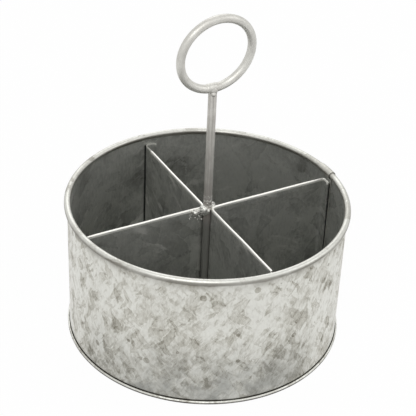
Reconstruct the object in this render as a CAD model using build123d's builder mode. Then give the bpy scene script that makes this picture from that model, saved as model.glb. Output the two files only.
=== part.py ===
from build123d import *
from math import atan2, cos, degrees, radians, sin, sqrt
import os

# Round cutlery caddy: a rolled sheet drum with a wired rim, a base folded onto its foot,
# two bent dividers back to back that clasp a rod, and a ring handle on the rod.
# Millimetres, +Z up, origin in the middle of the underside, dividers along X and Y.

# Overall sizes
drum_radius = 100.0  # outside of the wall
drum_height = 106.0  # underside to the top of the rim
overall_height = 250.0  # underside to the top of the ring
sheet = 0.5  # thickness of the wall, the base and the dividers

# Rolled rim
wire_radius = 1.75
wire_clearance = 0.05  # between the wire and the roll
wire_gap = 0.6  # between the wire's two ends
neck_radius = 1.2  # middle of the sheet, where it turns in under the roll
roll_stop = 68.0  # degrees below level at which the roll's edge stops

# Base seam
flange_width = 0.7  # the wall's foot beyond its outside
flange_bend = 0.6  # middle of the sheet
seam_clearance = 0.08  # between the flange and the fold round it
fold_rise = 0.8  # upright part of the fold
crevice = 0.55  # between the edge of the fold and the wall

# Lap of the wall
seam_azimuth = -5.6  # degrees, the edge that shows on the rim
lap_length = 12.0
lap_clearance = 0.15  # between the two layers
joggle_length = 4.0  # over which a layer steps aside
tuck_length = 1.5  # from the end of a layer to the other layer's step

# Handle
rod_radius = 3.0
ring_radius = 27.0  # middle of the hoop's wire
ring_gap = 0.5  # between the hoop's two ends
ring_lean = 6.6  # degrees, the hoop's top towards -Y
foot_gap = 0.25  # under the rod and the dividers

# Dividers
divider_drop = 8.0  # rim down to the dividers' top
divider_bend = 5.0  # middle of the sheet, round the rod
rod_clearance = 0.1  # between the rod and the dividers
hem_gap = 0.8  # inside the folded top edge
hem_depth = 5.0  # from the fold down to the hem's edge
hem_stop = 9.0  # from the hem's end to the tab's bend
tab_bend = 2.2  # middle of the sheet
tab_length = 6.0  # along the wall, past the bend
tab_clearance = 0.25  # between the tab and the wall

# Welds
ring_weld_radius = 4.1
ring_weld_drop = 0.5  # below the middle of the hoop's wire
rod_weld_radius = 3.9
rod_weld_outset = 0.6  # its middle beyond the rod's surface
rod_weld_azimuth = 204.0  # degrees, the front lump; the other is opposite
rod_weld_drop = 1.4  # its middle below the dividers' top
run_bead_radius = 2.7  # beads of weld along the left divider, in front of it
run_bead_pitch = 3.4
run_bead_drop = 3.0  # their middle below the dividers' top
run_bead_count = 3
spot_radius = 1.8
spot_depth_share = 0.4  # of the gap between the two sheets
tab_spot_height_shares = (0.18, 0.5, 0.82)  # of the dividers' height
seam_spot_height_shares = (0.14, 0.38, 0.62, 0.86)  # of the drum's height

# Turns, in degrees
full_turn = 360.0
half_turn = 180.0
quarter_turn = 90.0

# Sizes that follow
wall_inside = drum_radius - sheet
wall_middle = drum_radius - sheet / 2
roll_radius = wire_radius + wire_clearance + sheet / 2
roll_height = drum_height - roll_radius - sheet / 2
lap_step = sheet + lap_clearance
fold_radius = sheet + seam_clearance
flange_height = sheet / 2 + fold_radius
fold_centre = drum_radius + flange_width
fold_outside = fold_centre + fold_radius
lip_foot = flange_height + fold_rise
lip_height = lip_foot + fold_radius
fold_top = lip_height + sheet / 2
divider_foot = sheet + foot_gap
divider_top = drum_height - divider_drop
hem_radius = (sheet + hem_gap) / 2
fold_line = divider_top - hem_radius - sheet / 2
bend_outside = divider_bend + sheet / 2
bend_centre = (rod_radius + rod_clearance + bend_outside) / sqrt(2)
arm_offset = bend_centre - divider_bend
tab_radius = wall_inside - tab_clearance - sheet / 2
tab_angle = degrees(tab_length / tab_radius)
ring_down = Vector(0, sin(radians(ring_lean)), -cos(radians(ring_lean)))
ring_foot = overall_height - rod_radius + 2 * ring_radius * ring_down.Z
ring_centre = Vector(0, 0, ring_foot) - ring_down * ring_radius
ring_axis = Axis(ring_centre, (0, -ring_down.Z, ring_down.Y))


# Upright plane through the axis, its x outward
def upright(azimuth):
    turn = radians(azimuth)
    return Plane(origin=(0, 0, 0), x_dir=(cos(turn), sin(turn), 0), z_dir=(sin(turn), -cos(turn), 0))


# Level plane at a height, turned about the axis
def level(height, azimuth=0):
    turn = radians(azimuth)
    return Plane(origin=(0, 0, height), x_dir=(cos(turn), sin(turn), 0), z_dir=(0, 0, 1))


# Section of the wall: flange, wall, neck and roll. In the lap one layer stands further out
# and the other has the larger roll, and their necks share a centre, so they stay parallel.
def wall_section(azimuth, wall_shift=0, roll_growth=0, flanged=True):
    line_radius = wall_middle + wall_shift
    neck = neck_radius + wall_shift
    roll = roll_radius + roll_growth
    neck_centre = line_radius - neck
    reach = drum_radius - neck_centre
    neck_height = roll_height - sqrt((neck + roll) ** 2 - reach**2)
    neck_angle = degrees(atan2(roll_height - neck_height, reach))
    roll_start = half_turn + neck_angle
    bend_out = line_radius + flange_bend
    bend_up = flange_height + flange_bend
    with BuildSketch(upright(azimuth)) as section:
        with BuildLine():
            if flanged:
                Line((drum_radius + flange_width, flange_height), (bend_out, flange_height))
                CenterArc((bend_out, bend_up), flange_bend, -quarter_turn, -quarter_turn)
                Line((line_radius, bend_up), (line_radius, neck_height))
            else:
                Line((line_radius, fold_top + foot_gap), (line_radius, neck_height))
            CenterArc((neck_centre, neck_height), neck, 0, neck_angle)
            CenterArc((drum_radius, roll_height), roll, roll_start, -roll_start - roll_stop)
        trace(line_width=sheet)
    return section


# Wall: one strip all round, with a step and a lap at each end
lap_angle = degrees(lap_length / drum_radius)
joggle_angle = degrees(joggle_length / drum_radius)
tuck_angle = degrees(tuck_length / drum_radius)
over_start = seam_azimuth + lap_angle + tuck_angle
under_start = seam_azimuth - tuck_angle
strip_start = over_start + joggle_angle
strip_end = under_start - joggle_angle

over_section = wall_section(over_start, roll_growth=lap_step)
under_section = wall_section(under_start, wall_shift=lap_step, flanged=False)
strip_section = wall_section(strip_start)
plain_section = wall_section(strip_end, flanged=False)
edge_section = wall_section(seam_azimuth, roll_growth=lap_step)

with BuildPart() as drum_wall:
    revolve(strip_section.sketch, axis=Axis.Z, revolution_arc=full_turn + strip_end - strip_start)
    loft([over_section.sketch, strip_section.sketch], ruled=True)
    revolve(edge_section.sketch, axis=Axis.Z, revolution_arc=over_start - seam_azimuth)
    loft([plain_section.sketch, under_section.sketch], ruled=True)
    revolve(under_section.sketch, axis=Axis.Z, revolution_arc=lap_angle + tuck_angle)

# Wire in the rim, its ends apart by the gap
with BuildPart() as rim_wire:
    with BuildSketch(upright(seam_azimuth)):
        with Locations((drum_radius, roll_height)):
            Circle(wire_radius)
    revolve(axis=Axis.Z, revolution_arc=full_turn - degrees(wire_gap / drum_radius))

# Base: a disc whose edge is folded over the wall's flange
with BuildPart() as base_pan:
    with BuildSketch(upright(0)):
        with BuildLine():
            Line((0, sheet / 2), (fold_centre, sheet / 2))
            CenterArc((fold_centre, flange_height), fold_radius, -quarter_turn, quarter_turn)
            Line((fold_outside, flange_height), (fold_outside, lip_foot))
            CenterArc((fold_centre, lip_foot), fold_radius, 0, quarter_turn)
            Line((fold_centre, lip_height), (drum_radius + crevice, lip_height))
        trace(line_width=sheet)
    revolve(axis=Axis.Z)


# Divider: one arm outward along x, the other along -y, and a tab at the end of each.
# Both tabs turn the same way round the drum.
def divider(turn):
    near = tab_radius - tab_bend
    x_arm_side = -arm_offset - tab_bend
    x_arm_end = sqrt(near**2 - x_arm_side**2)
    x_tab_angle = degrees(atan2(x_arm_side, x_arm_end))
    y_arm_side = arm_offset - tab_bend
    y_arm_end = -sqrt(near**2 - y_arm_side**2)
    y_tab_angle = degrees(atan2(y_arm_end, y_arm_side))
    hem_x_end = x_arm_end - hem_stop
    hem_y_end = y_arm_end + hem_stop
    with BuildPart() as piece:
        with BuildSketch(level(divider_foot, turn)):
            with BuildLine():
                CenterArc((0, 0), tab_radius, x_tab_angle - tab_angle, tab_angle)
                CenterArc((x_arm_end, x_arm_side), tab_bend, x_tab_angle, quarter_turn - x_tab_angle)
                Line((x_arm_end, -arm_offset), (bend_centre, -arm_offset))
                CenterArc((bend_centre, -bend_centre), divider_bend, quarter_turn, quarter_turn)
                Line((arm_offset, -bend_centre), (arm_offset, y_arm_end))
                CenterArc((y_arm_side, y_arm_end), tab_bend, 0, y_tab_angle)
                CenterArc((0, 0), tab_radius, y_tab_angle, -tab_angle)
            trace(line_width=sheet)
        extrude(amount=fold_line - divider_foot)
        with BuildLine(level(fold_line, turn)) as fold:
            Line((hem_x_end, -arm_offset), (bend_centre, -arm_offset))
            CenterArc((bend_centre, -bend_centre), divider_bend, quarter_turn, quarter_turn)
            Line((arm_offset, -bend_centre), (arm_offset, hem_y_end))
        start = fold.line @ 0
        inward = fold.line % 0
        with BuildSketch(Plane(origin=start, x_dir=inward.cross(Vector(0, 0, -1)), z_dir=inward)):
            with BuildLine():
                CenterArc((hem_radius, 0), hem_radius, half_turn, -half_turn)
                Line((2 * hem_radius, 0), (2 * hem_radius, -hem_depth))
            trace(line_width=sheet)
        sweep(path=fold.line)
    return piece


right_divider = divider(0)
left_divider = divider(half_turn)

# Rod: stands in the eye between the dividers, its top hollowed to the hoop
with BuildPart() as handle_rod:
    with BuildSketch(level(divider_foot)):
        Circle(rod_radius)
    extrude(amount=ring_foot - divider_foot)
    with BuildSketch(Plane.YZ):
        with Locations((0, ring_foot)):
            Circle(rod_radius)
    revolve(axis=ring_axis, mode=Mode.SUBTRACT)

# Ring: a hoop across the rod, its ends butted at the bottom
gap_angle = degrees(ring_gap / ring_radius)
gap_turn = radians(gap_angle / 2)
gap_out = ring_down * cos(gap_turn) - Vector(1, 0, 0) * sin(gap_turn)
gap_along = ring_down * sin(gap_turn) + Vector(1, 0, 0) * cos(gap_turn)
with BuildPart() as handle_ring:
    with BuildSketch(Plane(origin=ring_centre, x_dir=gap_out, z_dir=gap_along)):
        with Locations((ring_radius, 0)):
            Circle(rod_radius)
    revolve(axis=ring_axis, revolution_arc=full_turn - gap_angle)

# Weld lump round the butted ends and the top of the rod
with BuildPart() as ring_weld:
    with Locations((0, 0, ring_foot - ring_weld_drop)):
        Sphere(ring_weld_radius)
    add(handle_ring.part, mode=Mode.SUBTRACT)
    add(handle_rod.part, mode=Mode.SUBTRACT)

# Weld lumps beside the rod, in the two corners that the dividers bend away from,
# and a run of beads from the front lump along the left divider
run_bead_side = arm_offset - sheet / 2
with BuildPart() as rod_welds:
    with Locations(level(divider_top - rod_weld_drop, rod_weld_azimuth)):
        with PolarLocations(rod_radius + rod_weld_outset, 2):
            Sphere(rod_weld_radius)
    for bead in range(run_bead_count):
        along = -rod_radius - bead * run_bead_pitch
        with Locations((along, run_bead_side, divider_top - run_bead_drop)):
            Sphere(run_bead_radius)
    add(handle_rod.part, mode=Mode.SUBTRACT)
    add(right_divider.part, mode=Mode.SUBTRACT)
    add(left_divider.part, mode=Mode.SUBTRACT)
    # The slivers beyond the sheets go
    add(rod_welds.solids().sort_by(SortBy.VOLUME)[-2:], mode=Mode.REPLACE)


# Weld spots in the gap between two sheets that follow the wall
def spot_welds(gap_inside, gap_outside, azimuths, heights):
    with BuildPart() as spots:
        for azimuth in azimuths:
            for height in heights:
                turn = radians(azimuth)
                outward = (cos(turn), sin(turn), 0)
                with BuildSketch(Plane(origin=(0, 0, height), x_dir=(0, 0, 1), z_dir=outward)):
                    Circle(spot_radius)
        extrude(amount=drum_radius + lap_step)
        with BuildSketch(level(0)):
            Circle(gap_outside)
            Circle(gap_inside, mode=Mode.SUBTRACT)
        extrude(amount=drum_height, mode=Mode.INTERSECT)
    return spots


# One spot column in the middle of each tab, and one in the middle of the lap
tab_reach = degrees(atan2(arm_offset + tab_bend, tab_radius - tab_bend)) + tab_angle / 2
cross_reach = degrees(atan2(tab_bend - arm_offset, tab_radius - tab_bend)) + tab_angle / 2
tab_spot_azimuths = (
    -tab_reach,
    -quarter_turn - cross_reach,
    half_turn - tab_reach,
    quarter_turn - cross_reach,
)
tab_spot_heights = [share * divider_top for share in tab_spot_height_shares]
tab_outside = tab_radius + sheet / 2
tab_spot_end = tab_outside + spot_depth_share * tab_clearance
tab_spot_welds = spot_welds(tab_outside, tab_spot_end, tab_spot_azimuths, tab_spot_heights)

seam_spot_heights = [share * drum_height for share in seam_spot_height_shares]
seam_spot_azimuths = [seam_azimuth + lap_angle / 2]
seam_spot_end = drum_radius + spot_depth_share * lap_clearance
seam_spot_welds = spot_welds(drum_radius, seam_spot_end, seam_spot_azimuths, seam_spot_heights)

# One file for each piece
os.makedirs("parts", exist_ok=True)
pieces = {
    "drum_wall": drum_wall,
    "rim_wire": rim_wire,
    "base_pan": base_pan,
    "left_divider": left_divider,
    "right_divider": right_divider,
    "handle_rod": handle_rod,
    "handle_ring": handle_ring,
    "ring_weld": ring_weld,
    "rod_welds": rod_welds,
    "tab_spot_welds": tab_spot_welds,
    "seam_spot_welds": seam_spot_welds,
}
for name, piece in pieces.items():
    piece.part.label = name
    export_step(piece.part, f"parts/{name}.step")
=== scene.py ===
"""Round zinc-coated cutlery caddy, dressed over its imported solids.

Metres, +Z up, the origin in the middle of the underside, the dividers along X and Y.
"""
import logging
import math
import random
from collections.abc import Callable
from dataclasses import dataclass, replace
from enum import Enum
from typing import Any

import bmesh
import bpy
from mathutils import Matrix, Vector, noise


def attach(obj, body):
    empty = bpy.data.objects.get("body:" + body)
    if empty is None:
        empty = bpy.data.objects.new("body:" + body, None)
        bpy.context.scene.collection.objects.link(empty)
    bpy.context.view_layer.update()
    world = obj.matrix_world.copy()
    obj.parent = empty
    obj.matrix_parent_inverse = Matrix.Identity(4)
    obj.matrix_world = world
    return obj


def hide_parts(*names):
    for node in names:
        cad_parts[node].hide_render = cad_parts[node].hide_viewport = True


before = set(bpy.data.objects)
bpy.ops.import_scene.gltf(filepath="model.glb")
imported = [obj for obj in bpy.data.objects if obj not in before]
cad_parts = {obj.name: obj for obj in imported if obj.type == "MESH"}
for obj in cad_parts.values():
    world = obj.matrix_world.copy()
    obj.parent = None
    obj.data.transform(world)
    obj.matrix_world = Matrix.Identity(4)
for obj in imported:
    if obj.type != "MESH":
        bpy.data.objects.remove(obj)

LOG = logging.getLogger("cutlery_caddy")
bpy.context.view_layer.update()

Colour = tuple[float, float, float, float]
Triple = tuple[float, float, float]
Socket = bpy.types.NodeSocket

MM = 0.001
BODY = "root"
ORIGIN = Vector((0.0, 0.0, 0.0))
ACROSS = Vector((1.0, 0.0, 0.0))
AHEAD = Vector((0.0, -1.0, 0.0))
UP = Vector((0.0, 0.0, 1.0))
FULL_TURN = 2 * math.pi
HALF_TURN = math.pi
QUARTER_TURN = math.pi / 2
TOLERANCE = 0.01 * MM

WHITE: Colour = (1.0, 1.0, 1.0, 1.0)
UNSTRETCHED: Triple = (1.0, 1.0, 1.0)
LEVEL: Triple = (1.0, 1.0, 0.0)

# The curve of screen colours: straight up to the knee, and a power above it
SCREEN_FULL = 255
SCREEN_KNEE = 0.04045
SCREEN_SLOPE = 12.92
SCREEN_OFFSET = 0.055
SCREEN_POWER = 2.4

# Most values of a noise pattern lie between the low one and the high one
NOISE_LOW = 0.3
NOISE_MIDDLE = 0.5
NOISE_HIGH = 0.7

# Numbers of the colour sockets on a mix node, whose names stand on its other sockets too
MIX_SHARE = 0
MIX_FIRST = 6
MIX_SECOND = 7
MIX_RESULT = 2


class Slot(Enum):
    """Material slots of the record."""

    SHEET = "zinc_sheet"
    HANDLE = "handle_steel"
    WELD = "weld_metal"


class Side(Enum):
    """The two dividers, by their turn about the drum's axis."""

    RIGHT = 0.0
    LEFT = HALF_TURN


class Layout(Enum):
    """How a sheet lies, so that its flakes can be laid out along it."""

    WRAPPED = "wrapped"
    UPRIGHT = "upright"
    FLAT = "flat"


@dataclass(frozen=True)
class CaddyPlan:
    """Sizes of the caddy, the same as its solids have."""

    sheet: float = 0.5 * MM
    drum_radius: float = 100.0 * MM
    drum_height: float = 106.0 * MM
    overall_height: float = 250.0 * MM
    wire_radius: float = 1.75 * MM
    wire_clearance: float = 0.05 * MM
    neck_radius: float = 1.2 * MM
    roll_stop: float = math.radians(68.0)
    flange_width: float = 0.7 * MM
    flange_bend: float = 0.6 * MM
    seam_clearance: float = 0.08 * MM
    fold_rise: float = 0.8 * MM
    crevice: float = 0.55 * MM
    seam_azimuth: float = math.radians(-5.6)
    lap_length: float = 12.0 * MM
    lap_clearance: float = 0.15 * MM
    joggle_length: float = 4.0 * MM
    tuck_length: float = 1.5 * MM
    rod_radius: float = 3.0 * MM
    ring_radius: float = 27.0 * MM
    ring_gap: float = 0.5 * MM
    ring_lean: float = math.radians(6.6)
    foot_gap: float = 0.25 * MM
    divider_drop: float = 8.0 * MM
    divider_bend: float = 5.0 * MM
    rod_clearance: float = 0.1 * MM
    hem_gap: float = 0.8 * MM
    hem_depth: float = 5.0 * MM
    hem_stop: float = 9.0 * MM
    tab_bend: float = 2.2 * MM
    tab_length: float = 6.0 * MM
    tab_clearance: float = 0.25 * MM

    @property
    def wall_middle(self) -> float:
        """Radius of the middle of the wall's sheet."""
        return self.drum_radius - self.sheet / 2

    @property
    def roll_radius(self) -> float:
        """Radius of the middle of the rolled sheet round the wire."""
        return self.wire_radius + self.wire_clearance + self.sheet / 2

    @property
    def roll_height(self) -> float:
        """Height of the wire's middle."""
        return self.drum_height - self.roll_radius - self.sheet / 2

    @property
    def rim_foot(self) -> float:
        """Height of the lowest point of the rolled sheet's middle."""
        return self.roll_height - self.roll_radius

    @property
    def lap_step(self) -> float:
        """Distance between the middles of the two layers in the lap."""
        return self.sheet + self.lap_clearance

    @property
    def fold_radius(self) -> float:
        """Radius of the bends in the base's folded edge."""
        return self.sheet + self.seam_clearance

    @property
    def flange_height(self) -> float:
        """Height of the wall's flange."""
        return self.sheet / 2 + self.fold_radius

    @property
    def fold_centre(self) -> float:
        """Distance of the fold's bends from the axis."""
        return self.drum_radius + self.flange_width

    @property
    def lip_foot(self) -> float:
        """Height of the fold's upper bend."""
        return self.flange_height + self.fold_rise

    @property
    def lip_height(self) -> float:
        """Height of the fold's lip."""
        return self.lip_foot + self.fold_radius

    @property
    def fold_top(self) -> float:
        """Height of the top of the fold."""
        return self.lip_height + self.sheet / 2

    @property
    def divider_foot(self) -> float:
        """Height of the dividers' lower edge."""
        return self.sheet + self.foot_gap

    @property
    def divider_top(self) -> float:
        """Height of the dividers' hem."""
        return self.drum_height - self.divider_drop

    @property
    def hem_radius(self) -> float:
        """Radius of the hem's fold."""
        return (self.sheet + self.hem_gap) / 2

    @property
    def fold_line(self) -> float:
        """Height at which the hem starts to fold."""
        return self.divider_top - self.hem_radius - self.sheet / 2

    @property
    def bend_centre(self) -> float:
        """Distance along X and Y of the middle of a divider's bend."""
        eye = self.rod_radius + self.rod_clearance + self.divider_bend + self.sheet / 2
        return eye / math.sqrt(2)

    @property
    def arm_offset(self) -> float:
        """Distance of a divider's arms from the drum's axis."""
        return self.bend_centre - self.divider_bend

    @property
    def tab_radius(self) -> float:
        """Radius of the middle of the tabs against the wall."""
        return self.drum_radius - self.sheet - self.tab_clearance - self.sheet / 2

    @property
    def tab_angle(self) -> float:
        """How far a tab reaches round the wall."""
        return self.tab_length / self.tab_radius

    @property
    def tab_near(self) -> float:
        """Radius at which the middles of the tabs' bends lie."""
        return self.tab_radius - self.tab_bend

    @property
    def x_tab_bend(self) -> Vector:
        """Middle of the bend to the tab of the right divider's X arm."""
        side = -self.arm_offset - self.tab_bend
        return Vector((math.sqrt(self.tab_near**2 - side**2), side, 0.0))

    @property
    def y_tab_bend(self) -> Vector:
        """Middle of the bend to the tab of the right divider's Y arm."""
        side = self.arm_offset - self.tab_bend
        return Vector((side, -math.sqrt(self.tab_near**2 - side**2), 0.0))

    @property
    def x_tab_turn(self) -> float:
        """Azimuth at which the right divider's X tab starts."""
        return math.atan2(self.x_tab_bend.y, self.x_tab_bend.x)

    @property
    def y_tab_turn(self) -> float:
        """Azimuth at which the right divider's Y tab starts."""
        return math.atan2(self.y_tab_bend.y, self.y_tab_bend.x)

    @property
    def x_bend_turn(self) -> float:
        """Azimuth of the corner behind the bend of the right divider's X arm."""
        return -self.arm_offset / self.drum_radius

    @property
    def y_bend_turn(self) -> float:
        """Azimuth of the corner behind the bend of the right divider's Y arm."""
        return self.arm_offset / self.drum_radius - QUARTER_TURN

    @property
    def ring_down(self) -> Vector:
        """Direction from the ring's middle to its foot."""
        return Vector((0.0, math.sin(self.ring_lean), -math.cos(self.ring_lean)))

    @property
    def ring_foot(self) -> Vector:
        """Middle of the hoop's bar where it meets the rod."""
        top = self.overall_height - self.rod_radius
        return UP * (top + 2 * self.ring_radius * self.ring_down.z)

    @property
    def ring_centre(self) -> Vector:
        """Middle of the ring."""
        return self.ring_foot - self.ring_down * self.ring_radius


PLAN = CaddyPlan()


@dataclass
class Front:
    """The free edge of a sheet, which draws the sheet behind it as it is pulled and turned."""

    bm: bmesh.types.BMesh
    geom: list[Any]

    @classmethod
    def point(cls, bm: bmesh.types.BMesh, place: Vector) -> "Front":
        """Start from one point."""
        return cls(bm, [bm.verts.new(place)])

    @property
    def verts(self) -> list[bmesh.types.BMVert]:
        """The points on the free edge."""
        return [part for part in self.geom if isinstance(part, bmesh.types.BMVert)]

    @property
    def edges(self) -> list[bmesh.types.BMEdge]:
        """The edges on the free edge."""
        return [part for part in self.geom if isinstance(part, bmesh.types.BMEdge)]

    def pull(self, offset: Vector, steps: int = 1) -> "Front":
        """Draw the free edge straight along an offset.

        Args:
            offset: The whole way that the edge goes.
            steps: How many rows of faces it leaves.

        Returns:
            The new free edge.
        """
        made = bmesh.ops.spin(
            self.bm, geom=self.geom, cent=ORIGIN, axis=UP, dvec=offset / steps, angle=0.0, steps=steps
        )
        return Front(self.bm, made["geom_last"])

    def turn(self, centre: Vector, axis: Vector, angle: float, steps: int) -> "Front":
        """Draw the free edge round an axis.

        Args:
            centre: A point on the axis.
            axis: The axis' direction.
            angle: The whole turn, in radians.
            steps: How many rows of faces it leaves.

        Returns:
            The new free edge.
        """
        made = bmesh.ops.spin(
            self.bm, geom=self.geom, cent=centre, axis=axis, angle=angle, steps=steps, use_merge=False
        )
        return Front(self.bm, made["geom_last"])

    def where(self, test: Callable[[Vector], bool]) -> "Front":
        """Keep only the stretch of the free edge whose points pass a test.

        Args:
            test: Says of a point whether it stays.

        Returns:
            The shorter free edge.
        """
        verts = [vert for vert in self.verts if test(vert.co)]
        kept = set(verts)
        edges = [edge for edge in self.edges if all(vert in kept for vert in edge.verts)]
        return Front(self.bm, verts + edges)


class BentLine:
    """A line in an upright plane, drawn as sheet is bent: in straight runs and arcs."""

    def __init__(self, bm: bmesh.types.BMesh, foot: Vector, out: Vector, start: tuple[float, float]) -> None:
        """Set the plane and the line's first point.

        Args:
            bm: The mesh to draw in.
            foot: The point on the ground that distances are counted from.
            out: The level direction in which they are counted.
            start: The first point's distance and height.
        """
        self.bm = bm
        self.foot = foot
        self.out = out
        self.older = set(bm.verts) | set(bm.edges)
        self.tip = Front.point(bm, self.place(*start))

    def place(self, distance: float, height: float) -> Vector:
        """The point at a distance and a height in the plane."""
        return self.foot + self.out * distance + UP * height

    def run(self, distance: float, height: float, steps: int = 1) -> None:
        """Go straight to a distance and a height."""
        self.tip = self.tip.pull(self.place(distance, height) - self.tip.verts[0].co, steps)

    def arc(self, distance: float, height: float, angle: float, steps: int) -> None:
        """Turn round a centre, outward to upward being a positive angle."""
        self.tip = self.tip.turn(self.place(distance, height), self.out.cross(UP), angle, steps)

    def front(self) -> Front:
        """The whole line as a free edge."""
        parts = [part for part in [*self.bm.verts, *self.bm.edges] if part not in self.older]
        return Front(self.bm, parts)


def polar(reach: float, azimuth: float, height: float = 0.0) -> Vector:
    """The point at a distance from the drum's axis, an azimuth and a height."""
    return Vector((reach * math.cos(azimuth), reach * math.sin(azimuth), height))


def radial(point: Vector) -> Vector:
    """The level direction from the drum's axis to a point."""
    return point.to_2d().normalized().to_3d()


def ease(value: float, low: float, high: float) -> float:
    """Smooth step from 0 at low to 1 at high.

    Args:
        value: The number to place between the two.
        low: Where the step starts.
        high: Where it ends.

    Returns:
        A number from 0 to 1.
    """
    share = min(max((value - low) / (high - low), 0.0), 1.0)
    return share * share * (3 - 2 * share)


def paint(red: int, green: int, blue: int) -> Colour:
    """Turn a screen colour into the linear one that a shader takes.

    Args:
        red: Red from 0 to 255.
        green: Green from 0 to 255.
        blue: Blue from 0 to 255.

    Returns:
        Linear red, green, blue and full alpha.
    """
    def linear(level: int) -> float:
        """Turn one channel into its linear level.

        Args:
            level: The channel from 0 to 255.

        Returns:
            The level from 0 to 1.
        """
        share = level / SCREEN_FULL
        lifted = (share + SCREEN_OFFSET) / (1 + SCREEN_OFFSET)
        return share / SCREEN_SLOPE if share <= SCREEN_KNEE else lifted**SCREEN_POWER

    return (linear(red), linear(green), linear(blue), 1.0)


def face_outward(bm: bmesh.types.BMesh, outward: Callable[[Vector], Vector]) -> None:
    """Turn an open sheet's faces the same way, and to the side that is asked for.

    Args:
        bm: The sheet.
        outward: Gives the wanted side at a face's middle, or a zero vector where it doesn't count.
    """
    bmesh.ops.recalc_face_normals(bm, faces=bm.faces)
    vote = sum(face.normal.dot(outward(face.calc_center_median())) * face.calc_area() for face in bm.faces)
    if vote < 0:
        bmesh.ops.reverse_faces(bm, faces=bm.faces)


def make_piece(
    name: str,
    bm: bmesh.types.BMesh,
    materials: list[bpy.types.Material],
    nodes: tuple[str, ...] = (),
) -> bpy.types.Object:
    """Turn a mesh into a piece of the caddy.

    Args:
        name: The piece's name.
        bm: Its mesh, which is freed.
        materials: Its materials, in the order of its faces' material numbers.
        nodes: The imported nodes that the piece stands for.

    Returns:
        The new object.
    """
    for face in bm.faces:
        face.smooth = True
    for edge in bm.edges:
        edge.smooth = not edge.is_boundary
    mesh = bpy.data.meshes.new(name)
    bm.to_mesh(mesh)
    bm.free()
    piece = bpy.data.objects.new(name, mesh)
    bpy.context.scene.collection.objects.link(piece)
    for material in materials:
        mesh.materials.append(material)
    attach(piece, BODY)
    if nodes:
        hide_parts(*nodes)
    LOG.info("%s: %d faces", name, len(mesh.polygons))
    return piece


def thicken(piece: bpy.types.Object, thickness: float, inner_material: int = 0) -> None:
    """Give a sheet its thickness, half to each side.

    Args:
        piece: The sheet.
        thickness: Its thickness.
        inner_material: How much higher the material number is on the inner side.
    """
    shell = piece.modifiers.new("thickness", "SOLIDIFY")
    shell.thickness = thickness
    shell.offset = 0.0
    shell.use_even_offset = True
    shell.material_offset = inner_material


@dataclass(frozen=True)
class Mottle:
    """A noise pattern: how fine it is, how many finer layers it has and how strong those are."""

    scale: float
    detail: float
    roughness: float


@dataclass(frozen=True)
class Ramp:
    """A smooth step between two levels, from the low end of a range to its high end."""

    low: float
    high: float
    at_low: float = 0.0
    at_high: float = 1.0


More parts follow.
